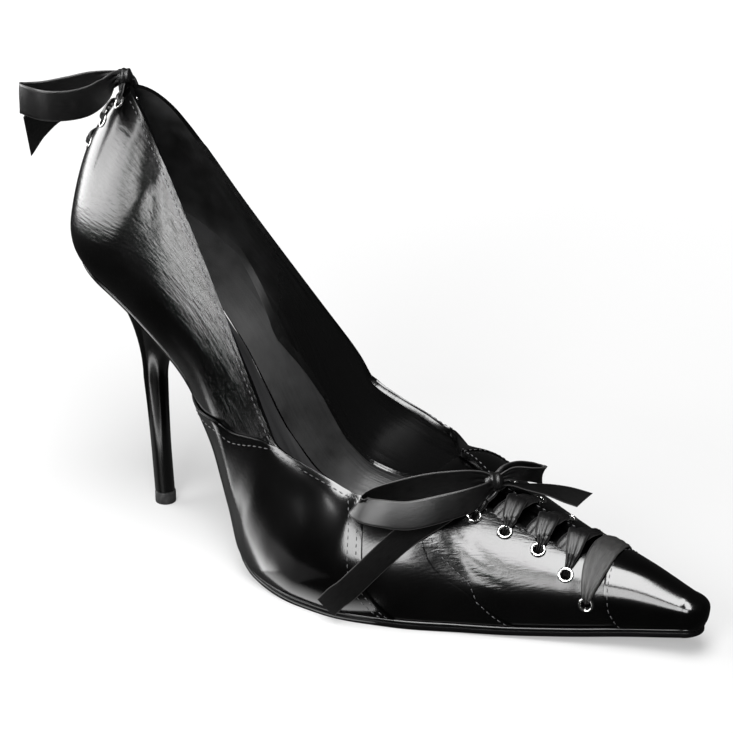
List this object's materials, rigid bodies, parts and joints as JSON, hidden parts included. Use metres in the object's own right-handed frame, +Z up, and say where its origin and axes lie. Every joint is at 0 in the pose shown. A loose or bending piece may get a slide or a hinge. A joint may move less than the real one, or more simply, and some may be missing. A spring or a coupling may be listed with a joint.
{
  "type": "pointed toe pump",
  "caption": "Black leather pointed toe pump with a stiletto heel, wing side panels, and ribbon lacing with bows over the tongue and at the back.",
  "frame": {"origin": "on the floor under the middle of the forefoot tread", "axes": "+X towards the toe, +Z up from the floor, the outer side of the foot at -Y"},
  "size_m": [0.2537, 0.0879, 0.1594],
  "materials": {
    "black_leather": "polished black leather with fine grain",
    "black_lining": "smooth black lining on a padded sock",
    "black_sole": "black sole with a polished edge",
    "grey_rubber": "dull dark grey",
    "black_ribbon": "black satin ribbon",
    "silver_metal": "bright silver eyelets"
  },
  "bodies": {
    "root": {"upper": "black_leather", "side_panel_lateral": "black_leather", "side_panel_medial": "black_leather", "toe_cap": "black_leather", "tongue": "black_leather", "insole": "black_lining", "outsole": "black_sole", "heel": "black_leather", "heel_top_lift": "grey_rubber", "front_eyelet_lateral_1": "silver_metal", "front_eyelet_lateral_2": "silver_metal", "front_eyelet_lateral_3": "silver_metal", "front_eyelet_lateral_4": "silver_metal", "front_eyelet_lateral_5": "silver_metal", "front_eyelet_medial_1": "silver_metal", "front_eyelet_medial_2": "silver_metal", "front_eyelet_medial_3": "silver_metal", "front_eyelet_medial_4": "silver_metal", "front_eyelet_medial_5": "silver_metal", "back_eyelet_lateral_1": "silver_metal", "back_eyelet_lateral_2": "silver_metal", "back_eyelet_lateral_3": "silver_metal", "back_eyelet_medial_1": "silver_metal", "back_eyelet_medial_2": "silver_metal", "back_eyelet_medial_3": "silver_metal", "front_lace_crossings": "black_ribbon", "back_lace_crossings": "black_ribbon", "front_bow_knot": "black_ribbon", "front_bow_loop_near": "black_ribbon", "front_bow_loop_far": "black_ribbon", "front_bow_end_near": "black_ribbon", "front_bow_end_far": "black_ribbon", "back_bow_knot": "black_ribbon", "back_bow_loop_near": "black_ribbon", "back_bow_loop_far": "black_ribbon", "back_bow_end": "black_ribbon"}
  },
  "joints": []
}
